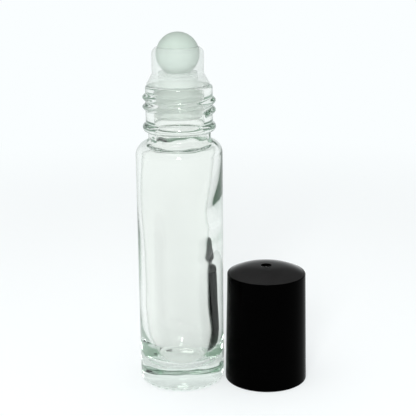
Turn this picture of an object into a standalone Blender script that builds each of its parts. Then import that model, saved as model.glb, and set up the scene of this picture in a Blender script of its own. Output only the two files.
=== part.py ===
"""Roll-on bottle for perfume oil, about 10 ml, standing open beside its cap.

Four pieces: a moulded glass bottle, a plastic ball housing pressed into its neck, a glass ball
that rolls in the housing, and a moulded screw cap. The bottle and the cap stand on z = 0, and
the origin lies midway between their outer sides.
"""

from math import acos, asin, atan2, cos, degrees, radians, sin, sqrt

import bmesh
import bpy
from mathutils import Matrix

MM = 0.001

# Glass bottle, body
BODY_RADIUS = 10.0 * MM
BODY_WALL = 2.25 * MM
SHOULDER_WALL = 1.5 * MM
WALL_THINS_FROM = 36.0 * MM
HEEL_RADIUS = 1.4 * MM
BEARING_RING_WIDTH = 1.2 * MM
PUSH_UP_HEIGHT = 0.8 * MM
BASE_THICKNESS = 4.7 * MM
FLOOR_CORNER_WIDTH = 3.1 * MM
FLOOR_CORNER_HEIGHT = 8.8 * MM
SHOULDER_HEIGHT = 55.0 * MM
SHOULDER_RADIUS = 3.4 * MM

# Glass bottle, neck
NECK_ROOT_RADIUS = 7.15 * MM
NECK_ROOT_FILLET = 0.9 * MM
NECK_RADIUS = 7.65 * MM
NECK_BORE_RADIUS = 5.75 * MM
BORE_FILLET = 0.9 * MM
BEAD_RISE = 6.45 * MM
BEAD_RADIUS = 8.35 * MM
BEAD_ROUNDING = 1.05 * MM
BEAD_FILLET = 0.3 * MM
LIP_RISE = 15.9 * MM
LIP_ROUNDING = 0.6 * MM
LIP_INNER_ROUNDING = 0.4 * MM

# Ball and its housing
BALL_RADIUS = 4.9 * MM
BALL_CLEARANCE = 0.05 * MM
BALL_RISE = 6.65 * MM
SEAT_CLEARANCE = 0.3 * MM
BARREL_WALL = 0.95 * MM
MOUTH_RISE = 1.65 * MM
MOUTH_ROUNDING = 1.6 * MM
COLLAR_RADIUS = 7.1 * MM
COLLAR_THICKNESS = 0.4 * MM
COLLAR_ROUNDING = 0.25 * MM
FLARE_HEIGHT = 1.9 * MM
PLUG_LENGTH = 7.6 * MM
PLUG_WALL = 0.9 * MM
PLUG_CHAMFER = 0.5 * MM
SEALING_RING_HEIGHT = 0.15 * MM
SEALING_RING_WIDTH = 0.7 * MM
SEALING_RING_SHARES = (0.3, 0.58)
WEB_THICKNESS = 1.0 * MM
FEED_HOLE_RADIUS = 2.9 * MM

# Screw cap
CAP_STEP_IN = 0.28 * MM
CAP_TAPER = 0.48 * MM
CAP_SIDE_HEIGHT = 26.5 * MM
CAP_EDGE_RADIUS = 0.8 * MM
CAP_RIM_ROUNDING = 0.2 * MM
CAP_DOME_HEIGHT = 1.4 * MM
CAP_WALL = 1.15 * MM
CAP_TOP_WALL = 1.3 * MM
CAP_INNER_CORNER = 1.2 * MM
GATE_RECESS_RADIUS = 1.3 * MM
GATE_RECESS_FLOOR_RADIUS = 0.5 * MM
GATE_RECESS_DEPTH = 0.65 * MM
GATE_STUB_RADIUS = 0.25 * MM
GATE_STUB_HEIGHT = 0.45 * MM
SEAL_RING_RADIUS = 2.5 * MM
SEAL_RING_WALL = 0.8 * MM
SEAL_RING_DROP = 2.9 * MM

# The open bottle and its cap stand side by side
STANDING_GAP = 0.4 * MM

# Facets
TURNING_STEPS = 48
BALL_RINGS = 22
MERGE_DISTANCE = 0.001 * MM

# Sizes, heights and places worked out from the others: the cap's side follows the body's
CAP_MOUTH_RADIUS = BODY_RADIUS - CAP_STEP_IN
CAP_TOP_RADIUS = CAP_MOUTH_RADIUS - CAP_TAPER
AXIS_SPACING = BODY_RADIUS + STANDING_GAP + CAP_MOUTH_RADIUS
BOTTLE_X = (BODY_RADIUS - CAP_MOUTH_RADIUS - AXIS_SPACING) / 2
CAP_X = BOTTLE_X + AXIS_SPACING
BEAD_HEIGHT = SHOULDER_HEIGHT + BEAD_RISE
LIP_HEIGHT = SHOULDER_HEIGHT + LIP_RISE
COLLAR_HEIGHT = LIP_HEIGHT + SEAT_CLEARANCE
BALL_HEIGHT = COLLAR_HEIGHT + BALL_RISE

# Colours seen in the photograph: glass, milky plastic, pale green glass and black plastic
CLEAR_GLASS = (0.93, 0.97, 0.95, 1.0)
MILKY_PLASTIC = (0.88, 0.91, 0.90, 1.0)
BALL_GLASS = (0.76, 0.84, 0.80, 1.0)
BLACK_PLASTIC = (0.012, 0.012, 0.013, 1.0)


def arc(centre, radius, start, end, steps):
    """Points (radius, height) on an arc about a centre, with its angles in degrees."""
    angles = [radians(start + (end - start) * step / steps) for step in range(steps + 1)]
    return [(centre[0] + radius * cos(angle), centre[1] + radius * sin(angle)) for angle in angles]


def fillet_beside(centre, radius, wall, fillet, side):
    """Centre of a fillet between a round form and a wall, and its angle as seen from the form.

    The fillet lies outside both, above the form where side is 1 and below it where side is -1.
    """
    across = wall + fillet - centre[0]
    along = sqrt((radius + fillet) ** 2 - across ** 2)
    return (wall + fillet, centre[1] + side * along), degrees(atan2(side * along, across))


def dome(radius, height, base, steps):
    """Points of a shallow round dome from its middle to its edge, on the height base."""
    sphere = (radius ** 2 + height ** 2) / (2 * height)
    edge = degrees(asin(radius / sphere))
    return arc((0, base + height - sphere), sphere, 90, 90 - edge, steps)


def bowl(centre, width, height, steps):
    """Points of a quarter oval about a centre, from its foot up to its side."""
    angles = [radians(90 * step / steps) for step in range(steps + 1)]
    return [(centre[0] + width * sin(angle), centre[1] - height * cos(angle)) for angle in angles]


def bottle_cavity():
    """Inside of the bottle, from the middle of its floor up to the lip."""
    inner_radius = BODY_RADIUS - BODY_WALL
    corner = (inner_radius - FLOOR_CORNER_WIDTH, BASE_THICKNESS + FLOOR_CORNER_HEIGHT)
    inner_shoulder = SHOULDER_RADIUS - SHOULDER_WALL
    shoulder = (BODY_RADIUS - SHOULDER_RADIUS, SHOULDER_HEIGHT)
    bore, bore_angle = fillet_beside(
        shoulder, inner_shoulder, NECK_BORE_RADIUS, BORE_FILLET, 1)
    lip = (NECK_BORE_RADIUS + LIP_INNER_ROUNDING, LIP_HEIGHT - LIP_INNER_ROUNDING)
    outline = [(0, BASE_THICKNESS)]
    outline += bowl(corner, FLOOR_CORNER_WIDTH, FLOOR_CORNER_HEIGHT, 6)
    outline += [(inner_radius, WALL_THINS_FROM)]
    outline += arc(shoulder, inner_shoulder, 0, bore_angle, 4)
    outline += arc(bore, BORE_FILLET, 180 + bore_angle, 180, 3)[1:]
    outline += arc(lip, LIP_INNER_ROUNDING, 180, 90, 3)
    return outline


def bottle_outside():
    """Outside of the bottle, from the lip down the neck and the body to the middle of the base."""
    lip = (NECK_RADIUS - LIP_ROUNDING, LIP_HEIGHT - LIP_ROUNDING)
    bead = (BEAD_RADIUS - BEAD_ROUNDING, BEAD_HEIGHT)
    shoulder = (BODY_RADIUS - SHOULDER_RADIUS, SHOULDER_HEIGHT)
    over_bead, bead_top = fillet_beside(bead, BEAD_ROUNDING, NECK_RADIUS, BEAD_FILLET, 1)
    under_bead, bead_foot = fillet_beside(bead, BEAD_ROUNDING, NECK_ROOT_RADIUS, BEAD_FILLET, -1)
    root, shoulder_top = fillet_beside(
        shoulder, SHOULDER_RADIUS, NECK_ROOT_RADIUS, NECK_ROOT_FILLET, 1)
    heel = (BODY_RADIUS - HEEL_RADIUS, HEEL_RADIUS)
    ring_radius = BODY_RADIUS - HEEL_RADIUS - BEARING_RING_WIDTH
    outline = arc(lip, LIP_ROUNDING, 90, 0, 4)
    outline += arc(over_bead, BEAD_FILLET, 180, 180 + bead_top, 3)[:-1]
    outline += arc(bead, BEAD_ROUNDING, bead_top, bead_foot, 6)
    outline += arc(under_bead, BEAD_FILLET, 180 + bead_foot, 180, 3)[1:]
    outline += arc(root, NECK_ROOT_FILLET, 180, 180 + shoulder_top, 4)
    outline += arc(shoulder, SHOULDER_RADIUS, shoulder_top, 0, 6)[1:]
    outline += arc(heel, HEEL_RADIUS, 0, -90, 4)
    outline += reversed(dome(ring_radius, PUSH_UP_HEIGHT, 0, 4))
    return outline


def sealing_ring(plug_radius, height):
    """A rounded ring on the plug, about the height given, from top to bottom."""
    return [(plug_radius, height + SEALING_RING_WIDTH / 2),
            (plug_radius + SEALING_RING_HEIGHT, height + SEALING_RING_WIDTH / 4),
            (plug_radius + SEALING_RING_HEIGHT, height - SEALING_RING_WIDTH / 4),
            (plug_radius, height - SEALING_RING_WIDTH / 2)]


def housing_outside():
    """Outside of the ball housing, from its mouth down to the foot of the plug."""
    seat_radius = BALL_RADIUS + BALL_CLEARANCE
    mouth_radius = sqrt(seat_radius ** 2 - MOUTH_RISE ** 2)
    barrel_radius = seat_radius + BARREL_WALL
    rounding_radius = barrel_radius - MOUTH_ROUNDING
    mouth_angle = acos((mouth_radius - rounding_radius) / MOUTH_ROUNDING)
    rounding_height = BALL_HEIGHT + MOUTH_RISE - MOUTH_ROUNDING * sin(mouth_angle)
    flare_foot = COLLAR_HEIGHT + COLLAR_THICKNESS
    collar = (COLLAR_RADIUS - COLLAR_ROUNDING, flare_foot - COLLAR_ROUNDING)
    plug_radius = NECK_BORE_RADIUS - SEAT_CLEARANCE - SEALING_RING_HEIGHT
    plug_foot = COLLAR_HEIGHT - PLUG_LENGTH
    outline = arc(
        (rounding_radius, rounding_height), MOUTH_ROUNDING, degrees(mouth_angle), 0, 6)
    outline += [(barrel_radius, flare_foot + FLARE_HEIGHT)]
    outline += arc(collar, COLLAR_ROUNDING, 60, 0, 2)
    outline += [(COLLAR_RADIUS, COLLAR_HEIGHT), (plug_radius, COLLAR_HEIGHT)]
    for share in SEALING_RING_SHARES:
        outline += sealing_ring(plug_radius, COLLAR_HEIGHT - share * PLUG_LENGTH)
    outline += [(plug_radius, plug_foot + PLUG_CHAMFER),
                (plug_radius - PLUG_CHAMFER, plug_foot)]
    return outline


def housing_inside():
    """Inside of the ball housing, from the plug's foot up to the ball's seat and the mouth."""
    seat_radius = BALL_RADIUS + BALL_CLEARANCE
    web_radius = seat_radius + WEB_THICKNESS
    bore_radius = NECK_BORE_RADIUS - SEAT_CLEARANCE - SEALING_RING_HEIGHT - PLUG_WALL
    plug_foot = COLLAR_HEIGHT - PLUG_LENGTH
    centre = (0, BALL_HEIGHT)
    web_edge = -degrees(acos(bore_radius / web_radius))
    web_hole = -degrees(acos(FEED_HOLE_RADIUS / web_radius))
    seat_hole = -degrees(acos(FEED_HOLE_RADIUS / seat_radius))
    mouth = degrees(asin(MOUTH_RISE / seat_radius))
    outline = [(bore_radius, plug_foot)]
    outline += arc(centre, web_radius, web_edge, web_hole, 3)
    outline += arc(centre, seat_radius, seat_hole, mouth, 12)[:-1]
    return outline


def cap_outside():
    """Outside of the cap, from the middle of its top down the side to its open rim."""
    edge = (CAP_TOP_RADIUS - CAP_EDGE_RADIUS, CAP_SIDE_HEIGHT - CAP_EDGE_RADIUS)
    rim = (CAP_MOUTH_RADIUS - CAP_RIM_ROUNDING, CAP_RIM_ROUNDING)
    top = dome(edge[0], CAP_DOME_HEIGHT, CAP_SIDE_HEIGHT, 6)
    sphere = (edge[0] ** 2 + CAP_DOME_HEIGHT ** 2) / (2 * CAP_DOME_HEIGHT)
    summit = CAP_SIDE_HEIGHT + CAP_DOME_HEIGHT
    recess_top = summit - sphere + sqrt(sphere ** 2 - GATE_RECESS_RADIUS ** 2)
    recess_floor = recess_top - GATE_RECESS_DEPTH
    outline = [(0, recess_floor + GATE_STUB_HEIGHT),
               (GATE_STUB_RADIUS, recess_floor + GATE_STUB_HEIGHT),
               (GATE_STUB_RADIUS, recess_floor),
               (GATE_RECESS_FLOOR_RADIUS, recess_floor),
               (GATE_RECESS_RADIUS, recess_top)]
    outline += [point for point in top if point[0] > GATE_RECESS_RADIUS]
    outline += arc(edge, CAP_EDGE_RADIUS, 60, 0, 4)
    outline += arc(rim, CAP_RIM_ROUNDING, 0, -90, 2)
    return outline


def cap_inside():
    """Inside of the cap, from its open rim up the wall to the middle of the ceiling."""
    mouth_radius = CAP_MOUTH_RADIUS - CAP_WALL
    ceiling_radius = CAP_TOP_RADIUS - CAP_WALL
    ceiling = CAP_SIDE_HEIGHT - CAP_TOP_WALL
    corner = (ceiling_radius - CAP_INNER_CORNER, ceiling - CAP_INNER_CORNER)
    vault = dome(corner[0], CAP_DOME_HEIGHT, ceiling, 6)
    sphere = (corner[0] ** 2 + CAP_DOME_HEIGHT ** 2) / (2 * CAP_DOME_HEIGHT)
    ring_outer = SEAL_RING_RADIUS + SEAL_RING_WALL
    ring_top = ceiling + CAP_DOME_HEIGHT - sphere + sqrt(sphere ** 2 - ring_outer ** 2)
    ring_root = ceiling + CAP_DOME_HEIGHT - sphere + sqrt(sphere ** 2 - SEAL_RING_RADIUS ** 2)
    ring_foot = ring_top - SEAL_RING_DROP
    outline = arc(
        (mouth_radius + CAP_RIM_ROUNDING, CAP_RIM_ROUNDING), CAP_RIM_ROUNDING, 270, 180, 2)
    outline += arc(corner, CAP_INNER_CORNER, 0, 70, 3)
    outline += [point for point in reversed(vault) if point[0] > ring_outer]
    outline += [(ring_outer, ring_top), (ring_outer, ring_foot),
                (SEAL_RING_RADIUS, ring_foot), (SEAL_RING_RADIUS, ring_root),
                (0, ceiling + CAP_DOME_HEIGHT)]
    return outline


def material(name, colour, roughness, transmission=0.0):
    """A Principled material in one colour."""
    made = bpy.data.materials.new(name)
    made.use_nodes = True
    made.diffuse_color = colour
    shader = made.node_tree.nodes["Principled BSDF"]
    shader.inputs["Base Color"].default_value = colour
    shader.inputs["Roughness"].default_value = roughness
    shader.inputs["Metallic"].default_value = 0.0
    shader.inputs["Transmission Weight"].default_value = transmission
    return made


def place(piece, collection, parent, made_of):
    """Link a piece to its collection, hang it on its parent and give it its material."""
    collection.objects.link(piece)
    piece.parent = parent
    piece.data.materials.append(made_of)
    return piece


def axis_empty(name, collection, x):
    """An upright axis that pieces are turned about."""
    axis = bpy.data.objects.new(name, None)
    axis.empty_display_type = "SINGLE_ARROW"
    axis.empty_display_size = BODY_RADIUS
    axis.location = (x, 0, 0)
    collection.objects.link(axis)
    return axis


def turned(name, outline, closed=False):
    """A piece turned about its own Z axis from an outline of (radius, height) points."""
    profile = bpy.data.meshes.new(name)
    count = len(outline)
    edges = [(index, index + 1) for index in range(count - 1)]
    if closed:
        edges.append((count - 1, 0))
    profile.from_pydata([(radius, 0, height) for radius, height in outline], edges, [])
    piece = bpy.data.objects.new(name, profile)
    screw = piece.modifiers.new("turning", "SCREW")
    screw.steps = TURNING_STEPS
    screw.render_steps = TURNING_STEPS
    screw.use_merge_vertices = True
    screw.merge_threshold = MERGE_DISTANCE
    screw.use_smooth_shade = True
    piece.modifiers.new("even shading", "WEIGHTED_NORMAL")
    return piece


def ball():
    """The ball, with its origin at its centre and its poles on the X axis that it rolls about."""
    sphere = bpy.data.meshes.new("roller_ball")
    shape = bmesh.new()
    bmesh.ops.create_uvsphere(
        shape, u_segments=2 * BALL_RINGS, v_segments=BALL_RINGS, radius=BALL_RADIUS,
        matrix=Matrix.Rotation(radians(90), 4, "Y"))
    shape.to_mesh(sphere)
    shape.free()
    sphere.shade_smooth()
    piece = bpy.data.objects.new("roller_ball", sphere)
    piece.location = (0, 0, BALL_HEIGHT)
    return piece


def clear_scene():
    """Remove what the opened file holds."""
    for thing in list(bpy.data.objects):
        bpy.data.objects.remove(thing, do_unlink=True)


def build():
    """Make the four pieces on their two upright axes."""
    clear_scene()
    parts = bpy.data.collections.new("roll_on_bottle")
    bpy.context.scene.collection.children.link(parts)
    bottle_axis = axis_empty("bottle_axis", parts, BOTTLE_X)
    cap_axis = axis_empty("cap_axis", parts, CAP_X)
    glass = turned("glass_bottle", bottle_cavity() + bottle_outside())
    housing = turned("ball_housing", housing_outside() + housing_inside(), closed=True)
    cap = turned("screw_cap", cap_outside() + cap_inside())
    place(glass, parts, bottle_axis, material("clear_glass", CLEAR_GLASS, 0.02, 1.0))
    place(housing, parts, bottle_axis, material("milky_plastic", MILKY_PLASTIC, 0.35))
    place(ball(), parts, bottle_axis, material("ball_glass", BALL_GLASS, 0.1, 0.5))
    place(cap, parts, cap_axis, material("black_plastic", BLACK_PLASTIC, 0.3))


build()
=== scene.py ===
"""Looks of a roll-on bottle for perfume oil, which stands open beside its screw cap.

Laid out as an add-on, and run as a script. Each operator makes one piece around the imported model:
the moulded glass with its thread, the milky ball housing, the ground glass ball and the black cap.
Lengths are in metres, +Z is up, and every piece lies where its node of the frame lies.
"""

from math import acos, asin, atan2, cos, degrees, dist, radians, sin, sqrt

import bmesh
import bpy
import numpy as np
from bpy.props import FloatProperty, FloatVectorProperty, IntProperty, PointerProperty
from mathutils import Matrix, Vector


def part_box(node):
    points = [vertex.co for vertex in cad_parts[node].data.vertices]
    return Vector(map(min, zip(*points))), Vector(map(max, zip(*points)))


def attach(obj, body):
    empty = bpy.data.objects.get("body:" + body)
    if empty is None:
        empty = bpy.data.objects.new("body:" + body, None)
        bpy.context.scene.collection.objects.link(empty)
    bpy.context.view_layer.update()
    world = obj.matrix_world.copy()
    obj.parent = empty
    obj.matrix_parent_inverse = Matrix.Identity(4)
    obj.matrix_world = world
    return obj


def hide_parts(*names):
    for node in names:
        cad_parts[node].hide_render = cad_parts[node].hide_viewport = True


bl_info = {
    "name": "Roll-on Perfume Oil Bottle",
    "version": (1, 0, 0),
    "blender": (4, 5, 0),
    "location": "3D View > Sidebar > Roll-on",
    "description": "Makes a glass roll-on bottle and its cap around their packed model",
    "category": "Object",
}

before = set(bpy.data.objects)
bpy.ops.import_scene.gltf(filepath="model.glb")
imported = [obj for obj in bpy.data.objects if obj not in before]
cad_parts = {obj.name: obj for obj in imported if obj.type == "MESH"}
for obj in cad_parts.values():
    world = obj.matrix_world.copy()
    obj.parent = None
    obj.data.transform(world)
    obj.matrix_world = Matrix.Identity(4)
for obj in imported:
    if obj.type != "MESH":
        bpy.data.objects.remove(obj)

MM = 0.001

# Outer sizes and places of the pieces, read from the frame
GLASS_LOW, GLASS_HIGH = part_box("glass_bottle")
BALL_LOW, BALL_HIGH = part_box("roller_ball")
CAP_LOW, CAP_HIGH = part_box("screw_cap")
PLUG_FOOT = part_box("ball_housing")[0].z
BOTTLE_X = (GLASS_LOW.x + GLASS_HIGH.x) / 2
CAP_X = (CAP_LOW.x + CAP_HIGH.x) / 2
GROUND = GLASS_LOW.z
BALL_MIDDLE = (BALL_LOW + BALL_HIGH) / 2
BALL_RADIUS = (BALL_HIGH.z - BALL_LOW.z) / 2

# About the longest stretch of an outline between two points, along each kind of surface
CAVITY_STRETCH = 0.8 * MM
SIDE_STRETCH = 1.5 * MM
RIDGE_STRETCH = 0.25 * MM
THREAD_STRETCH = 0.1 * MM

# Waves of uneven glass: depth, number round the piece, phase, and twist in radians for a metre up
CAVITY_WAVES = (
    (0.10 * MM, 1, -0.6, 1 / (17 * MM)),
    (0.07 * MM, 2, 1.1, -1 / (9 * MM)),
    (0.05 * MM, 3, 2.0, 1 / (6 * MM)),
)
SHOULDER_WAVES = ((0.2 * MM, 4, 1.0, 0), (0.08 * MM, 11, 2.3, 0))
HOLLOW_WAVES = ((0.64 * MM, 3, 1.0, 0), (0.384 * MM, 7, 2.0, 0))

# Places of the plug's sealing rings, as shares of its length from the lip down
SEALING_RING_SHARES = (0.3, 0.58)

# Degrees through which the edges of the housing's collar and of the cap's domed top are rounded
COLLAR_TURN = 60
TOP_EDGE_TURN = 70

# Usual least and most of a noise mark
MARK_LEAST, MARK_MOST = 0.35, 0.65

# Reflections inside a clear piece after which light is let out of it
DEEP_GLOSS = 3.5

# The stage: what the lamps look at, the nearest that the camera sees, and the floor's place
LAMPS_LOOK_AT = Vector((0, 0, 40 * MM))
NEAREST_SEEN = 10 * MM
FLOOR_RADIUS = 2.0
FLOOR_GAP = 0.05 * MM


def length(name, description, default):
    """A length property, in metres."""
    return FloatProperty(
        name=name, description=description, default=default, precision=5, unit="LENGTH")


def angle(name, description, default):
    """An angle property; the default is given in degrees."""
    return FloatProperty(
        name=name, description=description, default=radians(default), subtype="ANGLE")


def share(name, description, default):
    """A property that is a share of a whole."""
    return FloatProperty(
        name=name, description=description, default=default, precision=4, subtype="FACTOR")


def amount(name, description, default):
    """A plain number with no unit."""
    return FloatProperty(name=name, description=description, default=default, precision=4)


def spread(name, description, default):
    """A least and a greatest value."""
    return FloatVectorProperty(
        name=name, description=description, default=default, precision=4, size=2)


def colour(name, description, default):
    """A colour property, in linear light."""
    return FloatVectorProperty(
        name=name, description=description, default=default, subtype="COLOR", min=0, max=1)


class BottleSizes(bpy.types.PropertyGroup):
    """Sizes of the glass bottle"""

    body_radius: length(
        "Body radius", "Outer radius of the straight body", (GLASS_HIGH.x - GLASS_LOW.x) / 2)
    wall: length("Wall", "Thickness of the body's wall, low down", 2.3 * MM)
    shoulder_wall: length("Shoulder wall", "Thickness of the wall at the shoulder", 1.7 * MM)
    thins_from: length("Wall thins from", "Height where the wall starts to thin", 30.0 * MM)
    thins_until: length("Wall thins until", "Height where the wall stops thinning", 50.0 * MM)
    off_centre: length("Off centre", "How far the cavity lies to the left of the body", 0.8 * MM)
    off_from: length("Off centre from", "Height where the cavity starts to stray", 6.0 * MM)
    off_full: length("Off centre at", "Height where the cavity has strayed", 20.0 * MM)
    off_back: length("Back from", "Height where the cavity starts to come back", 37.0 * MM)
    off_until: length("Back at", "Height where the cavity is in the middle again", 60.0 * MM)
    bulge: length("Bulge", "How far the wall bulges in on the right side", 0.3 * MM)
    bulge_height: length("Bulge height", "Height of the bulge", 40.2 * MM)
    bulge_reach: length(
        "Bulge reach", "How far the bulge reaches down; it reaches twice as far up", 2.5 * MM)
    waist: length("Waist", "How much thinner the wall is under the bulge", 0.28 * MM)
    waist_height: length("Waist height", "Height of the thinner place", 38.0 * MM)
    waist_reach: length("Waist reach", "How far the thinner place reaches up and down", 3.0 * MM)
    ripple: length("Ripple", "Depth of the ripple under the bulge", 0.13 * MM)
    ripple_height: length("Ripple height", "Height of the ripple", 31.0 * MM)
    ripple_reach: length("Ripple reach", "How far the ripple reaches up and down", 1.2 * MM)
    shoulder_ripple: length(
        "Shoulder ripple", "How far the ripples of the shoulder reach", 3.0 * MM)
    heel: length("Heel", "Radius of the rounding under the body", 1.4 * MM)
    ring_width: length("Ring width", "Width of the ring that the base stands on", 1.2 * MM)
    push_up: length("Push-up", "Height of the hollow under the base", 0.5 * MM)
    uneven_share: share("Uneven share", "How much of the hollow has an uneven edge", 0.2)
    knurls: IntProperty(
        name="Knurls", description="Number of knurls round the heel", default=32, min=0)
    knurl_depth: length("Knurl depth", "Depth of the knurls", 0.32 * MM)
    base: length("Base", "Height of the cavity's floor", 4.7 * MM)
    bowl_width: length("Bowl width", "Width of the bend between floor and wall", 3.0 * MM)
    bowl_height: length("Bowl height", "Height of the bend between floor and wall", 9.2 * MM)
    floor_dip: length("Floor dip", "How far the cavity's floor sinks in its middle", 0.25 * MM)
    shoulder_height: length("Shoulder height", "Where the straight body ends", 55.0 * MM)
    shoulder: length("Shoulder", "Outer radius of the shoulder's bend", 3.4 * MM)
    root_radius: length("Neck root", "Radius of the neck under its bead", 7.15 * MM)
    root_fillet: length("Root fillet", "Fillet between shoulder and neck", 0.9 * MM)
    neck_radius: length("Neck radius", "Radius of the neck between its threads", 7.65 * MM)
    bore_radius: length("Bore radius", "Radius of the neck's bore", 5.75 * MM)
    bore_fillet: length("Bore fillet", "Fillet between bore and inner shoulder", 2.0 * MM)
    bead_rise: length("Bead rise", "Height of the bead above the straight body", 6.45 * MM)
    bead_radius: length("Bead radius", "Outer radius of the bead", 8.35 * MM)
    bead_rounding: length("Bead rounding", "Radius of the bead's own rounding", 1.05 * MM)
    bead_fillet: length("Bead fillet", "Fillet above and below the bead", 0.3 * MM)
    lip_height: length("Lip height", "Height of the lip", GLASS_HIGH.z - GROUND)
    lip_rounding: length("Lip rounding", "Outer rounding of the lip", 0.6 * MM)
    lip_inner: length("Lip inner rounding", "Inner rounding of the lip", 0.4 * MM)
    neck_shift: length("Neck shift", "How far the neck lies to the right of the body", 0.16 * MM)


class ThreadSizes(bpy.types.PropertyGroup):
    """Sizes of the glass thread and of the groove that runs with it in the cap"""

    pitch: length("Pitch", "Rise of the thread in one turn", 2.17 * MM)
    base_height: length("Base height", "Height of the thread's middle on the +X side", 65.09 * MM)
    lean: length("Lean", "How much higher the thread lies on the +X side than it should", 0.13 * MM)
    crest: length("Crest", "Radius of the thread's crest", 8.34 * MM)
    width: length("Width", "Width of the thread at its root", 2.1 * MM)
    start: angle("Start", "Where the thread starts, round from +X", -41)
    end: angle("End", "Where the thread ends, round from +X", 620)
    blunt: angle("Blunt start", "Length of the thread's blunt start", 9)
    taper: angle("Taper", "Length of the thread's tapered end", 70)
    fullness: amount("Fullness", "Roundness of the thread's section; 1 is a cosine", 0.8)


class HousingSizes(bpy.types.PropertyGroup):
    """Sizes of the ball housing"""

    clearance: length("Ball clearance", "Gap between the seat and the ball", 0.05 * MM)
    barrel_wall: length("Barrel wall", "Wall round the ball", 0.95 * MM)
    mouth_rise: length("Mouth rise", "Height of the mouth above the ball's middle", 1.65 * MM)
    mouth_rounding: length("Mouth rounding", "Outer rounding at the mouth", 1.6 * MM)
    collar_radius: length("Collar radius", "Radius of the collar on the lip", 7.1 * MM)
    collar_thickness: length("Collar thickness", "Thickness of the collar's edge", 0.65 * MM)
    collar_rounding: length("Collar rounding", "Rounding of the collar's edge", 0.25 * MM)
    flare: length("Flare", "Height of the cone between collar and barrel", 1.9 * MM)
    plug_gap: length("Plug gap", "Gap between the plug and the bore", 0.3 * MM)
    plug_wall: length("Plug wall", "Wall of the plug", 1.0 * MM)
    plug_chamfer: length("Plug chamfer", "Chamfer at the plug's foot", 0.5 * MM)
    ring_height: length("Sealing ring", "How far the rings stand out of the plug", 0.27 * MM)
    ring_width: length("Ring width", "Width of a sealing ring", 0.8 * MM)
    web: length("Web", "Thickness of the web under the ball", 1.0 * MM)
    feed_hole: length("Feed hole", "Radius of the hole that feeds the ball", 2.9 * MM)


class CapSizes(bpy.types.PropertyGroup):
    """Sizes of the screw cap"""

    mouth_radius: length(
        "Mouth radius", "Outer radius at the open rim", (CAP_HIGH.x - CAP_LOW.x) / 2)
    top_radius: length("Top radius", "Outer radius at the top", 9.24 * MM)
    side_height: length("Side height", "Height of the side", 26.5 * MM)
    edge: length("Edge", "Rounding between side and top", 0.5 * MM)
    rim: length("Rim", "Rounding of the open rim", 0.2 * MM)
    dome: length("Dome", "Rise of the top", 1.6 * MM)
    wall: length("Wall", "Thickness of the side", 1.15 * MM)
    top_wall: length("Top wall", "Thickness of the top", 1.3 * MM)
    inner_corner: length("Inner corner", "Rounding between side and ceiling inside", 1.2 * MM)
    gate_radius: length("Gate radius", "Radius of the dimple round the gate", 1.3 * MM)
    gate_floor: length("Gate floor", "Radius of the dimple's floor", 1.15 * MM)
    gate_depth: length("Gate depth", "Depth of the dimple", 1.05 * MM)
    gate_bevel: length("Gate bevel", "Bevel round the dimple", 0.04 * MM)
    stub_radius: length("Stub radius", "Radius of the gate's stub", 0.25 * MM)
    stub_height: length("Stub height", "Height of the gate's stub", 0.6 * MM)
    gate_scar: share("Gate scar", "How much further the dimple reaches towards the front", 0.7)
    seal_radius: length("Seal radius", "Inner radius of the ring that seals on the mouth", 2.5 * MM)
    seal_wall: length("Seal wall", "Wall of the sealing ring", 0.8 * MM)
    seal_drop: length("Seal drop", "How far the sealing ring hangs down", 2.9 * MM)
    thread_height: length("Thread height", "How far the thread stands out inside", 0.55 * MM)
    thread_start: length("Thread start", "Height where the cap's thread starts", 4.0 * MM)


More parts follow.
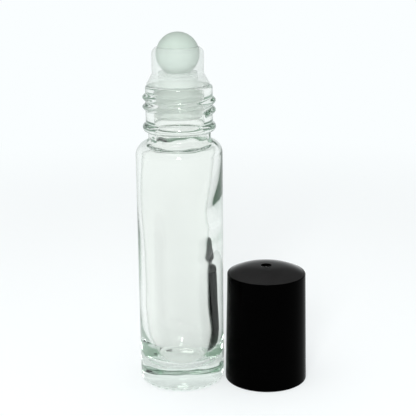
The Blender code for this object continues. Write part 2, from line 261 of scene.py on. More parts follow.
class Finishes(bpy.types.PropertyGroup):
    """Colours and finishes of the four pieces, with painted shade on the glass and painted light on
    the cap
    """

    glass_tint: colour("Glass", "Tint of the glass at its surfaces", (0.975, 0.985, 0.965))
    glass_roughness: spread("Glass roughness", "Least and greatest roughness", (0.0, 0.02))
    glass_wave: length("Glass waves", "Depth of the mould's slow waves", 0.02 * MM)
    glass_shadow: share("Glass shadow", "Light that each surface lets into its shadow", 0.65)
    glass_depth: colour("Glass depth", "Colour that thick glass takes on", (0.45, 0.62, 0.52))
    glass_density: amount("Glass density", "How fast thick glass darkens, for a metre", 18.0)
    # Painted shade: a dark colour laid on the glass where its surface turns off from the viewer. It
    # stands in for the shade along its outline and is left off the lowest few millimetres. The four
    # limits below set where it starts and where it is full.
    painted_edge_shade: colour(
        "Glass edge", "Tint of the glass where its surface turns off", (0.16, 0.21, 0.175))
    shade_edge_start: share("Edge start", "How far it has turned off where that tint starts", 0.62)
    shade_edge_end: share("Edge end", "How far it has turned off where that tint is full", 0.92)
    shade_edge_low: length("Edge low", "Height over the ground where that tint starts", 4.0 * MM)
    shade_edge_high: length("Edge high", "Height over the ground where that tint is full", 9.0 * MM)
    glass_trapped: colour(
        "Trapped light", "Tint after a long way inside the upper half", (0.36, 0.46, 0.39))
    base_trapped: colour(
        "Trapped in base", "Tint after a long way inside the lower half", (0.78, 0.84, 0.79))
    upper_low: length("Upper half from", "Height where the lower half's tint ends", 26.0 * MM)
    upper_high: length("Upper half at", "Height where the upper half's tint is full", 36.0 * MM)
    plastic: colour("Milky plastic", "Colour of the ball housing", (0.63, 0.695, 0.655))
    plastic_roughness: spread("Plastic roughness", "Least and greatest roughness", (0.32, 0.4))
    plastic_wave: length("Plastic waves", "Depth of the mould's slow waves", 0.001 * MM)
    plastic_round: share("Cloud round ball", "How much each wall hides, round the ball", 0.3)
    plastic_below: share("Cloud below ball", "How much each wall hides, below the ball", 0.4)
    cloud_below: length("Cloud from", "How far below the ball's foot it starts to clear", 1.5 * MM)
    cloud_above: length("Cloud until", "How far above the ball's foot it has cleared", 0.5 * MM)
    ball: colour("Ball", "Colour of the ground glass ball", (0.585, 0.68, 0.615))
    ball_roughness: spread("Ball roughness", "Least and greatest roughness", (0.4, 0.48))
    ball_grain: length("Ball grain", "Depth of the ground surface's grain", 0.001 * MM)
    ball_clearness: share("Ball clearness", "How much light goes through the ball", 0.4)
    cap: colour("Cap", "Colour of the black cap", (0.0001, 0.0001, 0.0001))
    # Painted light: the cap's colour is made lighter where it faces up, as if lit from above. The
    # next two limits set how far a surface must face up for it.
    painted_light_top: colour("Cap top", "Colour of the cap where it faces up", (0.018, 0.018, 0.018))
    painted_light_start: share("Top start", "How far a surface faces up where the top starts", 0.5)
    painted_light_end: share("Top end", "How far a surface faces up where it is all top", 0.75)
    # Painted glare: a pale colour put on the top where it is seen along its surface, standing in
    # for the backdrop that it reflects.
    painted_top_glare: colour("Cap haze", "Colour of its top seen along the surface", (0.75, 0.77, 0.77))
    glare_start: share("Haze start", "How far the top has turned off where that starts", 0.55)
    glare_power: amount("Haze power", "How late that comes, as a power", 3.0)
    cap_roughness: spread("Cap roughness", "Least and greatest roughness", (0.16, 0.21))
    cap_wave: length("Cap waves", "Depth of the mould's slow waves", 0.01 * MM)
    cap_grain: length("Cap grain", "Depth of the mould's fine grain", 0.0004 * MM)
    cap_specular: share("Cap gloss", "Strength of the gloss straight on", 0.01)


class StageSettings(bpy.types.PropertyGroup):
    """Camera, lamps, floor and background"""

    camera_x: length("Camera across", "Place of the camera to the right", 0.747 * MM)
    camera_y: length("Camera away", "Place of the camera towards the back", -232.249 * MM)
    camera_z: length("Camera height", "Height of the camera", 104.323 * MM)
    pitch: angle("Pitch", "How far the camera looks down", 15.0)
    yaw: angle("Yaw", "How far the camera turns to the left", 1.03)
    roll: angle("Roll", "How far the camera leans", -0.53)
    lens: amount("Lens", "Focal length in millimetres on a 36 mm sensor", 89.51)
    background: colour("Background", "Colour of the sweep behind the bottle", (0.956, 0.991, 1.0))
    floor: colour("Floor", "Colour of the floor under the pieces", (0.965, 0.995, 1.0))
    floor_glow: share("Floor glow", "Share of the floor that shines through from below", 0.4)
    floor_near: length("Floor near", "Where the floor starts to fade into the sweep", 120 * MM)
    floor_far: length("Floor far", "Where the floor is all sweep", 300 * MM)
    plain_light: amount("Plain light", "Strength of the light from all round", 0.62)
    overhead: share("Overhead", "Brightness overhead as glass shows it", 0.8)
    overhead_from: angle("Overhead from", "Where it starts to fade, over the horizon", 15)
    overhead_until: angle("Overhead until", "Where it has faded, over the horizon", 50)
    gloss_low: share("Low gloss", "Brightness at the horizon as gloss shows it", 1.0)
    gloss_high: share("High gloss", "Brightness overhead as gloss shows it", 0.32)
    gloss_until: angle("Gloss until", "Where that has faded, over the horizon", 30)


def shares(steps):
    """Even shares of a whole, from 0 to 1."""
    return [step / steps for step in range(steps + 1)]


def arc(centre, radius, start, end, steps):
    """Points (radius, height) on an arc about a centre, with its angles in degrees."""
    turns = [radians(start + (end - start) * part) for part in shares(steps)]
    return [(centre[0] + radius * cos(turn), centre[1] + radius * sin(turn)) for turn in turns]


def fillet_beside(centre, radius, wall, fillet, side):
    """Centre of a fillet between a round form and a wall, and its angle as seen from the form.

    The fillet lies outside both, above the form where side is 1 and below it where side is -1.
    """
    across = wall + fillet - centre[0]
    along = sqrt((radius + fillet) ** 2 - across ** 2)
    return (wall + fillet, centre[1] + side * along), degrees(atan2(side * along, across))


def sphere_over(radius, height):
    """Radius of the sphere that a shallow dome of that radius and height is cut from."""
    return (radius ** 2 + height ** 2) / (2 * height)


def dome(radius, height, base, steps):
    """Points of a shallow round dome from its middle to its edge, on the height base."""
    sphere = sphere_over(radius, height)
    edge = degrees(asin(radius / sphere))
    return [(0, base + height)] + arc(
        (0, base + height - sphere), sphere, 90, 90 - edge, steps)[1:]


def crown(radius, rise, base, steps):
    """Points of a top that is nearly flat in its middle, from there to its edge."""
    return [(radius * part, base + rise * (1 - part ** 3)) for part in shares(steps)]


def divided(outline, stretch):
    """The same outline with points added, so that they are about a stretch apart at most."""
    points = [outline[0]]
    for start, end in zip(outline, outline[1:]):
        parts = max(1, round(dist(start, end) / stretch))
        points += [tuple(a + (b - a) * part / parts for a, b in zip(start, end))
                   for part in range(1, parts)]
        points.append(end)
    return points


def columns(outline):
    """The radii and the heights of an outline, each as an array."""
    return [np.array(values) for values in zip(*outline)]


def smooth(values):
    """Values from 0 to 1 eased at both ends, and held there outside them."""
    held = np.clip(values, 0, 1)
    return held * held * (3 - 2 * held)


def swelling(heights, middle, reach):
    """A soft swelling that is 1 in its middle and fades out over its reach."""
    return np.exp(-((heights - middle) / reach) ** 2)


def waves(table, angles, heights):
    """How far a table's waves stand out, in a row for each height and a column for each angle."""
    return sum(depth * np.cos(number * angles + phase + twist * heights[:, None])
               for depth, number, phase, twist in table)


def steps_round(steps):
    """Angles of the steps round a turned piece, from +X."""
    return np.arange(steps) * 2 * np.pi / steps


def placed(name, data):
    """A new object in the scene for a mesh, a lamp or a camera."""
    item = bpy.data.objects.new(name, data)
    bpy.context.scene.collection.objects.link(item)
    return item


def turned(name, outline, axis_x, push, closed=False):
    """A piece turned about an upright axis from an outline of (radius, height) points.

    push moves the points out or in: it has a row for each of them and a column for each step.
    """
    steps = push.shape[1]
    angles = steps_round(steps)
    radii, heights = columns(outline)
    reach = radii[:, None] + push
    points = np.stack((axis_x + reach * np.cos(angles), reach * np.sin(angles),
                       np.broadcast_to(heights[:, None], reach.shape)), axis=-1).reshape(-1, 3)
    rings = [range(row * steps, (row + 1) * steps) for row in range(len(outline))]
    if closed:
        rings.append(rings[0])
    from_pole, to_pole = (not closed and outline[end][0] == 0 for end in (0, -1))
    faces = []
    for ring, following in zip(rings, rings[1:]):
        for step in range(steps):
            after = (step + 1) % steps
            if from_pole and ring is rings[0]:
                faces.append((ring[0], following[step], following[after]))
            elif to_pole and following is rings[-1]:
                faces.append((ring[step], following[0], ring[after]))
            else:
                faces.append((ring[step], following[step], following[after], ring[after]))
    mesh = bpy.data.meshes.new(name)
    mesh.from_pydata(points.tolist(), [], faces)
    shape = bmesh.new()
    shape.from_mesh(mesh)
    spare = [corner for corner in shape.verts if not corner.link_faces]
    bmesh.ops.delete(shape, geom=spare, context="VERTS")
    shape.to_mesh(mesh)
    shape.free()
    mesh.shade_smooth()
    return placed(name, mesh)


def finish_piece(piece, material, body, node):
    """Give a piece its material and its body, and hide the node of the frame that it takes the
    place of.
    """
    piece.data.materials.append(material)
    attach(piece, body)
    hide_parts(node)


def bottle_cavity(size):
    """Inside of the bottle, from the middle of its floor up to the lip."""
    inner_radius = size.body_radius - size.wall
    corner = (inner_radius - size.bowl_width, size.base + size.bowl_height)
    shoulder = (size.body_radius - size.shoulder, size.shoulder_height)
    inner_shoulder = size.shoulder - size.shoulder_wall
    bore, bore_angle = fillet_beside(
        shoulder, inner_shoulder, size.bore_radius, size.bore_fillet, 1)
    lip = (size.bore_radius + size.lip_inner, size.lip_height - size.lip_inner)
    dip = dome(corner[0], size.floor_dip, -size.base, 8)
    outline = [(radius, -height) for radius, height in dip][:-1]
    outline += [(corner[0] + size.bowl_width * across, corner[1] + size.bowl_height * along)
                for across, along in arc((0, 0), 1, -90, 0, 20)]
    thinning = size.wall - size.shoulder_wall
    span = size.thins_until - size.thins_from
    outline += [(inner_radius + thinning * smooth(part), size.thins_from + span * part)
                for part in shares(16)]
    outline += arc(shoulder, inner_shoulder, 0, bore_angle, 12)
    outline += arc(bore, size.bore_fillet, 180 + bore_angle, 180, 8)[1:]
    outline += arc(lip, size.lip_inner, 180, 90, 6)
    return outline


def bottle_outside(size):
    """Outside of the neck, from the lip to its bead, and of all below, to the base's middle."""
    lip = (size.neck_radius - size.lip_rounding, size.lip_height - size.lip_rounding)
    bead = (size.bead_radius - size.bead_rounding, size.shoulder_height + size.bead_rise)
    shoulder = (size.body_radius - size.shoulder, size.shoulder_height)
    over_bead, bead_top = fillet_beside(
        bead, size.bead_rounding, size.neck_radius, size.bead_fillet, 1)
    under_bead, bead_foot = fillet_beside(
        bead, size.bead_rounding, size.root_radius, size.bead_fillet, -1)
    root, shoulder_top = fillet_beside(
        shoulder, size.shoulder, size.root_radius, size.root_fillet, 1)
    heel = (size.body_radius - size.heel, size.heel)
    neck = arc(lip, size.lip_rounding, 90, 0, 10) + [(size.neck_radius, over_bead[1])]
    body = arc(over_bead, size.bead_fillet, 180, 180 + bead_top, 6)[1:-1]
    body += arc(bead, size.bead_rounding, bead_top, bead_foot, 24)
    body += arc(under_bead, size.bead_fillet, 180 + bead_foot, 180, 6)[1:]
    body += arc(root, size.root_fillet, 180, 180 + shoulder_top, 10)
    body += arc(shoulder, size.shoulder, shoulder_top, 0, 20)[1:]
    body += arc(heel, size.heel, 0, -90, 12)
    body += reversed(dome(heel[0] - size.ring_width, size.push_up, 0, 10))
    return neck, body


def thread_push(thread, angles, heights, base_height, rise):
    """How far a thread stands out at each height and angle, with its blunt start and its taper."""
    push = np.zeros((len(heights), len(angles)))
    turns = int(np.ceil((thread.end - thread.start) / (2 * np.pi))) + 1
    for turn in range(-1, turns):
        along = angles + turn * 2 * np.pi
        middle = base_height + thread.pitch * along / (2 * np.pi) + thread.lean * np.cos(angles)
        off = np.clip(np.abs(heights[:, None] - middle) / (thread.width / 2), 0, 1)
        section = np.cos(off * np.pi / 2) ** (2 * thread.fullness)
        ends = smooth((along - thread.start) / thread.blunt)
        ends = ends * smooth((thread.end - along) / thread.taper)
        push = np.maximum(push, rise * section * ends)
    return push


def wall_waves(size, angles, heights):
    """How far the blown inside of the bottle wanders from round, in and out."""
    inside = smooth((heights - size.base - size.bowl_height / 2) / size.bowl_height)
    inside *= smooth((size.shoulder_height + size.shoulder - heights) / size.shoulder)
    above_root = heights - size.shoulder_height - size.shoulder_ripple
    near_root = smooth(1 - np.abs(above_root) / size.shoulder_ripple)
    stray = smooth((heights - size.off_from) / (size.off_full - size.off_from))
    stray *= smooth((size.off_until - heights) / (size.off_until - size.off_back))
    bulge_reach = size.bulge_reach * np.where(heights > size.bulge_height, 2, 1)
    bulge = size.bulge * swelling(heights, size.bulge_height, bulge_reach)
    bulge -= size.waist * swelling(heights, size.waist_height, size.waist_reach)
    bulge += size.ripple * swelling(heights, size.ripple_height, size.ripple_reach)
    right = smooth((1 + np.cos(angles)) / 2)
    return (waves(CAVITY_WAVES, angles, heights) * inside[:, None]
            + waves(SHOULDER_WAVES, angles, heights) * near_root[:, None]
            - bulge[:, None] * right
            - size.off_centre * stray[:, None] * np.cos(angles))


def heel_marks(size, angles, radii, heights):
    """Knurls round the heel, and the uneven edge of the hollow under the base, in and out."""
    inner = size.body_radius - size.heel - size.ring_width
    low = smooth((size.heel - heights) / size.heel)
    knurls = size.knurl_depth * (np.cos(size.knurls * angles) - 1) / 2
    under = smooth((inner - radii) / (size.uneven_share * inner)) * smooth(radii / inner)
    return (knurls * (low * (radii > inner))[:, None]
            + waves(HOLLOW_WAVES, angles, heights) * (low * under)[:, None])


class ROLLON_OT_glass_bottle(bpy.types.Operator):
    """Make the moulded glass bottle with its thread"""

    bl_idname = "rollon.glass_bottle"
    bl_label = "Glass bottle"

    def execute(self, context):
        scene = context.scene
        size, thread = scene.rollon_bottle, scene.rollon_thread
        angles = steps_round(scene.rollon_steps)
        neck, body = bottle_outside(size)
        cavity = divided(bottle_cavity(size), CAVITY_STRETCH)
        neck = divided(neck, THREAD_STRETCH)
        body = divided(body, SIDE_STRETCH)
        waving = wall_waves(size, angles, columns(cavity)[1])
        radii, heights = columns(neck)
        threads = thread_push(
            thread, angles, heights, thread.base_height, thread.crest - size.neck_radius)
        lip = smooth((radii - size.neck_radius + size.lip_rounding) / size.lip_rounding)
        push = np.concatenate(
            (waving, threads * lip[:, None], heel_marks(size, angles, *columns(body))))
        outline = cavity + neck + body
        up = columns(outline)[1] - size.shoulder_height
        push += size.neck_shift * smooth(up / size.shoulder)[:, None] * np.cos(angles)
        piece = turned("moulded_bottle", outline, BOTTLE_X, push)
        finish_piece(piece, glass_material(scene.rollon_finishes),
                     "bottle", "glass_bottle")
        return {"FINISHED"}


def housing_outside(size, bottle):
    """Outside of the ball housing, from its mouth down to the foot of the plug."""
    seat_radius = BALL_RADIUS + size.clearance
    mouth_radius = sqrt(seat_radius ** 2 - size.mouth_rise ** 2)
    barrel_radius = seat_radius + size.barrel_wall
    rounding_radius = barrel_radius - size.mouth_rounding
    mouth_angle = acos((mouth_radius - rounding_radius) / size.mouth_rounding)
    rounding_height = BALL_MIDDLE.z + size.mouth_rise - size.mouth_rounding * sin(mouth_angle)
    seat = bottle.lip_height + size.clearance
    flare_foot = seat + size.collar_thickness
    collar = (size.collar_radius - size.collar_rounding, flare_foot - size.collar_rounding)
    plug_radius = bottle.bore_radius - size.plug_gap
    outline = arc((rounding_radius, rounding_height), size.mouth_rounding,
                  degrees(mouth_angle), 0, 16)
    outline += [(barrel_radius, flare_foot + size.flare)]
    outline += arc(collar, size.collar_rounding, COLLAR_TURN, 0, 5)
    outline += [(size.collar_radius, seat), (plug_radius, seat)]
    outline += [(plug_radius, PLUG_FOOT + size.plug_chamfer)]
    outline += [(plug_radius - size.plug_chamfer, PLUG_FOOT)]
    return outline


def housing_inside(size, bottle):
    """Inside of the ball housing, from the plug's foot up to the ball's seat and the mouth."""
    centre = (0, BALL_MIDDLE.z)
    seat_radius = BALL_RADIUS + size.clearance
    web_radius = seat_radius + size.web
    bore_radius = bottle.bore_radius - size.plug_gap - size.plug_wall
    web_edge = -degrees(acos(bore_radius / web_radius))
    web_hole = -degrees(acos(size.feed_hole / web_radius))
    seat_hole = -degrees(acos(size.feed_hole / seat_radius))
    mouth = degrees(asin(size.mouth_rise / seat_radius))
    outline = [(bore_radius, PLUG_FOOT)]
    outline += arc(centre, web_radius, web_edge, web_hole, 8)
    outline += arc(centre, seat_radius, seat_hole, mouth, 32)[:-1]
    return outline


class ROLLON_OT_ball_housing(bpy.types.Operator):
    """Make the milky housing that is pressed into the neck"""

    bl_idname = "rollon.ball_housing"
    bl_label = "Ball housing"

    def execute(self, context):
        scene = context.scene
        size, bottle = scene.rollon_housing, scene.rollon_bottle
        outline = housing_outside(size, bottle) + housing_inside(size, bottle)
        outline = divided(outline, RIDGE_STRETCH)
        radii, heights = columns(outline)
        outer = np.abs(radii - bottle.bore_radius + size.plug_gap) < size.clearance
        push = np.zeros(len(outline))
        for down in SEALING_RING_SHARES:
            middle = bottle.lip_height - down * (bottle.lip_height - PLUG_FOOT)
            off = np.abs(heights - middle) / (size.ring_width / 2)
            push += size.ring_height * smooth(1 - off) * outer
        piece = turned("pressed_housing", outline, BOTTLE_X,
                       np.repeat(push[:, None], scene.rollon_steps, axis=1), closed=True)
        finish_piece(piece, plastic_material(scene.rollon_finishes),
                     "bottle", "ball_housing")
        return {"FINISHED"}


def evened(corner):
    """A point of a cube of half-size 1 moved onto a sphere, with even spacing."""
    x, y, z = (value ** 2 for value in corner)
    return Vector((corner.x * sqrt(1 - y / 2 - z / 2 + y * z / 3),
                   corner.y * sqrt(1 - z / 2 - x / 2 + z * x / 3),
                   corner.z * sqrt(1 - x / 2 - y / 2 + x * y / 3)))


class ROLLON_OT_roller_ball(bpy.types.Operator):
    """Make the ground glass ball"""

    bl_idname = "rollon.roller_ball"
    bl_label = "Roller ball"

    def execute(self, context):
        mesh = bpy.data.meshes.new("ground_ball")
        shape = bmesh.new()
        bmesh.ops.create_cube(shape, size=2 * BALL_RADIUS)
        bmesh.ops.subdivide_edges(shape, edges=shape.edges, cuts=31, use_grid_fill=True)
        for corner in shape.verts:
            corner.co = BALL_MIDDLE + evened(corner.co / BALL_RADIUS) * BALL_RADIUS
        shape.to_mesh(mesh)
        shape.free()
        mesh.shade_smooth()
        finish_piece(placed("ground_ball", mesh), ball_material(context.scene.rollon_finishes),
                     "ball", "roller_ball")
        return {"FINISHED"}


def cap_outside(size):
    """Outside of the cap, from the middle of its top down the side to its open rim."""
    edge = (size.top_radius - size.edge, size.side_height - size.edge)
    rim = (size.mouth_radius - size.rim, size.rim)
    top = size.side_height + size.dome
    floor = top - size.gate_depth
    outline = [(0, floor + size.stub_height),
               (size.stub_radius, floor + size.stub_height),
               (size.stub_radius, floor),
               (size.gate_floor, floor),
               (size.gate_floor + size.gate_bevel, floor + size.gate_bevel),
               (size.gate_radius - size.gate_bevel, top - size.gate_bevel),
               (size.gate_radius, top),
               (size.gate_radius + size.gate_bevel, top)]
    outline += [point for point in crown(edge[0], size.dome, size.side_height, 40)
                if point[0] > size.gate_radius + 2 * size.gate_bevel]
    outline += arc(edge, size.edge, TOP_EDGE_TURN, 0, 8)
    outline += arc(rim, size.rim, 0, -90, 5)
    return outline


def cap_inside(size):
    """Inside of the cap, from its open rim up the wall to the middle of the ceiling."""
    ceiling = size.side_height - size.top_wall
    summit = ceiling + size.dome
    corner = (size.top_radius - size.wall - size.inner_corner, ceiling - size.inner_corner)
    sphere = sphere_over(corner[0], size.dome)
    ring_outer = size.seal_radius + size.seal_wall
    ring_top, ring_root = (summit - sphere + sqrt(sphere ** 2 - radius ** 2)
                           for radius in (ring_outer, size.seal_radius))
    ring_foot = ring_top - size.seal_drop
    outline = arc((size.mouth_radius - size.wall + size.rim, size.rim), size.rim, 270, 180, 5)
    outline += arc(corner, size.inner_corner, 0, TOP_EDGE_TURN, 8)
    outline += [point for point in reversed(dome(corner[0], size.dome, ceiling, 16))
                if point[0] > ring_outer]
    outline += [(ring_outer, ring_top), (ring_outer, ring_foot),
                (size.seal_radius, ring_foot), (size.seal_radius, ring_root), (0, summit)]
    return outline


class ROLLON_OT_screw_cap(bpy.types.Operator):
    """Make the black screw cap with its inner thread and its gate mark"""

    bl_idname = "rollon.screw_cap"
    bl_label = "Screw cap"

    def execute(self, context):
        scene = context.scene
        size, thread = scene.rollon_cap, scene.rollon_thread
        angles = steps_round(scene.rollon_steps)
        outside = divided(cap_outside(size), SIDE_STRETCH)
        inside = divided(cap_inside(size), RIDGE_STRETCH)
        radii, _ = columns(outside)
        dimple = radii * (radii <= size.gate_radius) * (radii > size.stub_radius)
        frontward = np.clip(-np.sin(angles), 0, 1) ** 4
        scar = size.gate_scar * dimple[:, None] * frontward
        radii, heights = columns(inside)
        wall = smooth((radii - size.top_radius + 2 * size.wall) / size.wall)
        ridge = thread_push(thread, angles, heights, size.thread_start, size.thread_height)
        push = np.concatenate((scar, -ridge * wall[:, None]))
        piece = turned("moulded_cap", outside + inside, CAP_X, push)
        finish_piece(piece, cap_material(scene.rollon_finishes),
                     "cap", "screw_cap")
        return {"FINISHED"}


def feed(tree, socket, source):
    """Give a socket what another node puts out, or a plain number or colour of its own."""
    if isinstance(source, bpy.types.NodeSocket):
        tree.links.new(source, socket)
    elif socket.type == "RGBA":
        socket.default_value = (*source, 1)
    else:
        socket.default_value = source


def math_node(tree, operation, first, second):
    """The result of a math node on two sockets, or on a socket and a number."""
    node = tree.nodes.new("ShaderNodeMath")
    node.operation = operation
    feed(tree, node.inputs[0], first)
    feed(tree, node.inputs[1], second)
    return node.outputs["Value"]


def mapped(tree, source, start, end, at_start, at_end, eased=False):
    """A value that goes from at_start to at_end as its source goes from start to end."""
    node = tree.nodes.new("ShaderNodeMapRange")
    if eased:
        node.interpolation_type = "SMOOTHSTEP"
    for label, value in (("Value", source), ("From Min", start), ("From Max", end),
                         ("To Min", at_start), ("To Max", at_end)):
        feed(tree, node.inputs[label], value)
    return node.outputs["Result"]


def blended(tree, factor, first, second):
    """A colour that goes from the first to the second with the factor."""
    node = tree.nodes.new("ShaderNodeMix")
    node.data_type = "RGBA"
    for label, value in (("Factor", factor), ("A", first), ("B", second)):
        feed(tree, node.inputs[label], value)
    return node.outputs["Result"]


def mixed(tree, factor, first, second):
    """A shader that goes from the first to the second with the factor."""
    node = tree.nodes.new("ShaderNodeMixShader")
    for socket, source in zip(node.inputs, (factor, first, second)):
        tree.links.new(source, socket)
    return node.outputs["Shader"]


def upward_part(tree, coordinates):
    """How high a point is, or how far a normal or a view faces up, by its coordinates."""
    place = tree.nodes.new("ShaderNodeTexCoord")
    parts = tree.nodes.new("ShaderNodeSeparateXYZ")
    tree.links.new(place.outputs[coordinates], parts.inputs["Vector"])
    return parts.outputs["Z"]


def turning_off(tree, start, end):
    """0 where a surface faces the viewer, and 1 where it has turned off, between two limits."""
    facing = tree.nodes.new("ShaderNodeLayerWeight").outputs["Facing"]
    return mapped(tree, facing, start, end, 0, 1)


def surface_marks():
    """The group that every material shares: slow waves of the mould, fine grain and handling."""
    made = bpy.data.node_groups.get("surface marks")
    if made:
        return made
    group = bpy.data.node_groups.new("surface marks", "ShaderNodeTree")
    kinds = (("Wave", 150, 1), ("Grain", 6000, 2), ("Smudge", 180, 4))
    for mark, scale, _ in kinds:
        given_scale = group.interface.new_socket(
            mark + " Scale", in_out="INPUT", socket_type="NodeSocketFloat")
        given_scale.default_value = scale
        group.interface.new_socket(mark, in_out="OUTPUT", socket_type="NodeSocketFloat")
    given, out, place = (group.nodes.new(kind) for kind in (
        "NodeGroupInput", "NodeGroupOutput", "ShaderNodeTexCoord"))
    for mark, _, detail in kinds:
        texture = group.nodes.new("ShaderNodeTexNoise")
        texture.inputs["Detail"].default_value = detail
        group.links.new(place.outputs["Object"], texture.inputs["Vector"])
        group.links.new(given.outputs[mark + " Scale"], texture.inputs["Scale"])
        group.links.new(texture.outputs["Fac"], out.inputs[mark])
    return group


def new_material(name, **scales):
    """A material with its Principled shader and the shared surface marks at its own scales."""
    material = bpy.data.materials.new(name)
    material.use_nodes = True
    tree = material.node_tree
    marks = tree.nodes.new("ShaderNodeGroup")
    marks.node_tree = surface_marks()
    for mark, scale in scales.items():
        marks.inputs[mark.title() + " Scale"].default_value = scale
    return material, tree, tree.nodes["Principled BSDF"], marks.outputs


def by_mark(tree, mark, low, high):
    """A value from low to high as a mark goes from its usual least to its usual most."""
    return mapped(tree, mark, MARK_LEAST, MARK_MOST, low, high)


def smudged(tree, marks, base, low_share=1, high_share=1):
    """A colour that handling makes darker or lighter, between two shares of its base."""
    return blended(tree, by_mark(tree, marks["Smudge"], 0, 1),
                   Vector(base) * low_share, Vector(base) * high_share)


def bumped(tree, mark, depth, below=None):
    """A bump of that depth in metres by a mark, on top of the bump below it."""
    node = tree.nodes.new("ShaderNodeBump")
    node.inputs["Strength"].default_value = 1.0
    node.inputs["Distance"].default_value = depth
    tree.links.new(mark, node.inputs["Height"])
    if below:
        tree.links.new(below, node.inputs["Normal"])
    return node.outputs["Normal"]


def trapped(tree, path):
    """1 for light that has been reflected inside a clear piece too often to be followed."""
    return math_node(tree, "GREATER_THAN", path.outputs["Glossy Depth"], DEEP_GLOSS)


def lit_through(tree, shader, share_through, trapped_tint):
    """Let that share of a lamp's light straight through each surface of a clear piece.

    Light that is trapped inside the piece leaves it with the tint of its long way.
    """
    path = tree.nodes.new("ShaderNodeLightPath")
    surface = shader.outputs["BSDF"]
    for factor, tint in ((trapped(tree, path), trapped_tint),
                         (path.outputs["Is Shadow Ray"], (share_through,) * 3)):
        clear = tree.nodes.new("ShaderNodeBsdfTransparent")
        feed(tree, clear.inputs["Color"], tint)
        surface = mixed(tree, factor, surface, clear.outputs["BSDF"])
    tree.links.new(surface, tree.nodes["Material Output"].inputs["Surface"])


def glass_material(finish):
    """Clear moulded glass, faintly wavy, which darkens to grey-green where it is thick, with
    painted shade along its outline above the base.
    """
    material, tree, shader, marks = new_material("clear moulded glass", wave=160, smudge=120)
    height = upward_part(tree, "Object")
    clear = smudged(tree, marks, finish.glass_tint, low_share=0.99)
    # Painted shade: the colour darkens where the surface turns off from the viewer, above the
    # lowest few millimetres.
    edge = math_node(tree, "MULTIPLY", turning_off(tree, finish.shade_edge_start, finish.shade_edge_end),
                     mapped(tree, height, finish.shade_edge_low, finish.shade_edge_high, 0, 1))
    feed(tree, shader.inputs["Base Color"], blended(tree, edge, clear, finish.painted_edge_shade))
    feed(tree, shader.inputs["Roughness"],
         by_mark(tree, marks["Smudge"], *finish.glass_roughness))
    feed(tree, shader.inputs["Normal"], bumped(tree, marks["Wave"], finish.glass_wave))
    shader.inputs["IOR"].default_value = 1.52
    shader.inputs["Transmission Weight"].default_value = 1.0
    upper_half = mapped(tree, height, finish.upper_low, finish.upper_high, 0, 1)
    long_way = blended(tree, upper_half, finish.base_trapped, finish.glass_trapped)
    lit_through(tree, shader, finish.glass_shadow, long_way)
    depth = tree.nodes.new("ShaderNodeVolumeAbsorption")
    depth.inputs["Color"].default_value = (*finish.glass_depth, 1)
    depth.inputs["Density"].default_value = finish.glass_density
    tree.links.new(depth.outputs["Volume"], tree.nodes["Material Output"].inputs["Volume"])
    return material


def plastic_material(finish):
    """Natural milky plastic, satin outside, and cloudier below the ball than round it."""
    material, tree, shader, marks = new_material("milky plastic", wave=220, smudge=260)
    cloudy = mapped(tree, upward_part(tree, "Object"), BALL_LOW.z - finish.cloud_below,
                    BALL_LOW.z + finish.cloud_above, finish.plastic_below, finish.plastic_round)
    feed(tree, shader.inputs["Base Color"],
         smudged(tree, marks, finish.plastic, low_share=0.985))
    feed(tree, shader.inputs["Roughness"],
         by_mark(tree, marks["Smudge"], *finish.plastic_roughness))
    feed(tree, shader.inputs["Normal"], bumped(tree, marks["Wave"], finish.plastic_wave))
    feed(tree, shader.inputs["Alpha"], cloudy)
    shader.inputs["IOR"].default_value = 1.45
    return material


def ball_material(finish):
    """Ground soda glass, pale grey-green and clouded."""
    material, tree, shader, marks = new_material("ground glass", grain=9000, smudge=350)
    feed(tree, shader.inputs["Base Color"], smudged(tree, marks, finish.ball, low_share=0.98))
    feed(tree, shader.inputs["Roughness"],
         by_mark(tree, marks["Smudge"], *finish.ball_roughness))
    feed(tree, shader.inputs["Normal"], bumped(tree, marks["Grain"], finish.ball_grain))
    shader.inputs["IOR"].default_value = 1.5
    shader.inputs["Transmission Weight"].default_value = finish.ball_clearness
    return material


def cap_material(finish):
    """Black satin plastic, with painted light that makes it greyer where it faces up, and a painted
    glare along its top where that turns away from the viewer.
    """
    material, tree, shader, marks = new_material(
        "black satin plastic", wave=120, grain=6000, smudge=200)
    # Painted light: the colour is lighter where the surface faces up.
    painted_light_mask = mapped(tree, upward_part(tree, "Normal"), finish.painted_light_start, finish.painted_light_end, 0, 1,
                    eased=True)
    side = smudged(tree, marks, finish.cap, high_share=1.6)
    top = smudged(tree, marks, finish.painted_light_top, low_share=0.85)
    # Painted glare: the top pales where it is seen along its surface.
    glare = math_node(
        tree, "POWER", turning_off(tree, finish.glare_start, 1), finish.glare_power)
    glared_top = blended(tree, glare, top, finish.painted_top_glare)
    moulded = bumped(tree, marks["Wave"], finish.cap_wave)
    feed(tree, shader.inputs["Base Color"], blended(tree, painted_light_mask, side, glared_top))
    feed(tree, shader.inputs["Roughness"],
         by_mark(tree, marks["Smudge"], *finish.cap_roughness))
    feed(tree, shader.inputs["Normal"], bumped(tree, marks["Grain"], finish.cap_grain, moulded))
    shader.inputs["IOR"].default_value = 1.5
    shader.inputs["Specular IOR Level"].default_value = finish.cap_specular
    return material


def seen_directly(tree, path):
    """1 for rays from the camera and for what gloss and glass show of it, and 0 for plain light."""
    seen = math_node(tree, "MAXIMUM", path.outputs["Is Camera Ray"], path.outputs["Is Glossy Ray"])
    return math_node(tree, "MAXIMUM", seen, path.outputs["Is Transmission Ray"])


def by_height(tree, start, end, at_start, at_end):
    """Brightness of the surroundings, fading between two angles over the horizon."""
    return mapped(tree, upward_part(tree, "Generated"), sin(start), sin(end),
                  at_start, at_end, eased=True)


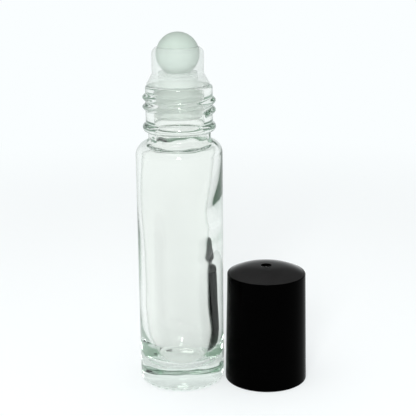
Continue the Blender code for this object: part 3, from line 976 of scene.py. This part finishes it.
def make_world(settings):
    """Plain light from all round, and the sweep that the camera, gloss and glass see."""
    world = bpy.data.worlds.new("sweep")
    bpy.context.scene.world = world
    world.use_nodes = True
    tree = world.node_tree
    path = tree.nodes.new("ShaderNodeLightPath")
    plain = tree.nodes["Background"]
    plain.inputs["Strength"].default_value = settings.plain_light
    plain.inputs["Color"].default_value = (1, 1, 1, 1)
    in_glass = by_height(
        tree, settings.overhead_from, settings.overhead_until, 1, settings.overhead)
    in_gloss = by_height(
        tree, 0, settings.gloss_until, settings.gloss_low, settings.gloss_high)
    inside = math_node(
        tree, "MAXIMUM", path.outputs["Is Transmission Ray"], trapped(tree, path))
    through = math_node(tree, "MULTIPLY", inside, in_glass)
    glossy = math_node(tree, "MULTIPLY", path.outputs["Is Glossy Ray"], in_gloss)
    strength = math_node(tree, "MAXIMUM", glossy, through)
    sweep = tree.nodes.new("ShaderNodeBackground")
    sweep.inputs["Color"].default_value = (*settings.background, 1)
    feed(tree, sweep.inputs["Strength"],
         math_node(tree, "MAXIMUM", strength, path.outputs["Is Camera Ray"]))
    surface = mixed(tree, seen_directly(tree, path),
                    plain.outputs["Background"], sweep.outputs["Background"])
    tree.links.new(surface, tree.nodes["World Output"].inputs["Surface"])


def floor_material(settings):
    """White that keeps the pieces' shadow near them, and is the sweep's own white further out."""
    material = bpy.data.materials.new("white sweep")
    material.use_nodes = True
    tree = material.node_tree
    tree.nodes.remove(tree.nodes["Principled BSDF"])
    place = tree.nodes.new("ShaderNodeTexCoord")
    reach = tree.nodes.new("ShaderNodeVectorMath")
    reach.operation = "LENGTH"
    tree.links.new(place.outputs["Object"], reach.inputs[0])
    fade = mapped(tree, reach.outputs["Value"], settings.floor_near, settings.floor_far,
                  settings.floor_glow, 1, eased=True)
    seen = seen_directly(tree, tree.nodes.new("ShaderNodeLightPath"))
    white = tree.nodes.new("ShaderNodeBsdfDiffuse")
    white.inputs["Color"].default_value = (*settings.floor, 1)
    glow = tree.nodes.new("ShaderNodeEmission")
    glow.inputs["Color"].default_value = (*settings.background, 1)
    surface = mixed(tree, math_node(tree, "MULTIPLY", fade, seen),
                    white.outputs["BSDF"], glow.outputs["Emission"])
    tree.links.new(surface, tree.nodes["Material Output"].inputs["Surface"])
    return material


def soft_lamp(name, azimuth, elevation, distance, width, height, radiance):
    """A rectangular lamp that looks at the pieces from a bearing and a height in degrees.

    Bearing 0 is in front of them, and radiance is how bright the lamp's face is.
    """
    lamp = bpy.data.lights.new(name, "AREA")
    lamp.shape = "RECTANGLE"
    lamp.size = width
    lamp.size_y = height
    lamp.energy = 4 * radiance * width * height
    bearing, above = radians(azimuth), radians(elevation)
    out = Vector((sin(bearing) * cos(above), -cos(bearing) * cos(above), sin(above)))
    holder = placed(name, lamp)
    holder.location = LAMPS_LOOK_AT + out * distance
    holder.rotation_euler = out.to_track_quat("Z", "Y").to_euler()
    holder.visible_camera = False
    return holder


class ROLLON_OT_stage(bpy.types.Operator):
    """Make the camera, the lamps, the background and the floor"""

    bl_idname = "rollon.stage"
    bl_label = "Stage"

    def execute(self, context):
        settings = context.scene.rollon_stage
        context.scene.view_settings.view_transform = "Standard"
        lens = bpy.data.cameras.new("camera")
        lens.lens = settings.lens
        lens.clip_start = NEAREST_SEEN
        camera = placed("camera", lens)
        camera.matrix_world = (
            Matrix.Translation((settings.camera_x, settings.camera_y, settings.camera_z))
            @ Matrix.Rotation(settings.yaw, 4, "Z")
            @ Matrix.Rotation(radians(90) - settings.pitch, 4, "X")
            @ Matrix.Rotation(settings.roll, 4, "Z"))
        context.scene.camera = camera
        make_world(settings)
        soft_lamp("window", azimuth=1, elevation=22, distance=0.7,
                  width=0.11, height=0.2, radiance=16)
        soft_lamp("top lamp", azimuth=-30, elevation=70, distance=0.8,
                  width=0.5, height=0.4, radiance=0.8)
        key = soft_lamp("key lamp", azimuth=-7, elevation=25, distance=0.9,
                        width=0.3, height=0.3, radiance=13)
        key.visible_glossy = False
        key.visible_transmission = False
        mesh = bpy.data.meshes.new("floor")
        shape = bmesh.new()
        bmesh.ops.create_circle(shape, cap_ends=True, segments=96, radius=FLOOR_RADIUS)
        shape.to_mesh(mesh)
        shape.free()
        mesh.materials.append(floor_material(settings))
        floor = placed("floor", mesh)
        floor.location = (0, 0, GROUND - FLOOR_GAP)
        return {"FINISHED"}


class ROLLON_PT_panel(bpy.types.Panel):
    """Buttons and sizes of the roll-on bottle"""

    bl_label = "Roll-on bottle"
    bl_idname = "ROLLON_PT_panel"
    bl_space_type = "VIEW_3D"
    bl_region_type = "UI"
    bl_category = "Roll-on"

    def draw(self, context):
        layout = self.layout
        for operator in OPERATORS:
            layout.operator(operator.bl_idname)
        layout.prop(context.scene, "rollon_steps")
        for label in SETTINGS:
            box = layout.box()
            group = getattr(context.scene, label)
            for value in group.bl_rna.properties:
                if value.identifier not in ("rna_type", "name"):
                    box.prop(group, value.identifier)


SETTINGS = {
    "rollon_bottle": BottleSizes,
    "rollon_thread": ThreadSizes,
    "rollon_housing": HousingSizes,
    "rollon_cap": CapSizes,
    "rollon_finishes": Finishes,
    "rollon_stage": StageSettings,
}
OPERATORS = (
    ROLLON_OT_stage,
    ROLLON_OT_glass_bottle,
    ROLLON_OT_ball_housing,
    ROLLON_OT_roller_ball,
    ROLLON_OT_screw_cap,
)


def register():
    """Register the settings, the operators and the panel."""
    for kind in (*SETTINGS.values(), *OPERATORS, ROLLON_PT_panel):
        bpy.utils.register_class(kind)
    for label, kind in SETTINGS.items():
        setattr(bpy.types.Scene, label, PointerProperty(type=kind))
    bpy.types.Scene.rollon_steps = IntProperty(
        name="Steps", description="Steps round the turned pieces", default=192, min=24)


def unregister():
    """Take back what register set up."""
    del bpy.types.Scene.rollon_steps
    for label in SETTINGS:
        delattr(bpy.types.Scene, label)
    for kind in reversed((*SETTINGS.values(), *OPERATORS, ROLLON_PT_panel)):
        bpy.utils.unregister_class(kind)


def main():
    """Make the stage and the pieces."""
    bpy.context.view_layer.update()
    register()
    bpy.ops.rollon.stage()
    bpy.ops.rollon.glass_bottle()
    bpy.ops.rollon.ball_housing()
    bpy.ops.rollon.roller_ball()
    bpy.ops.rollon.screw_cap()


if __name__ == "__main__":
    main()
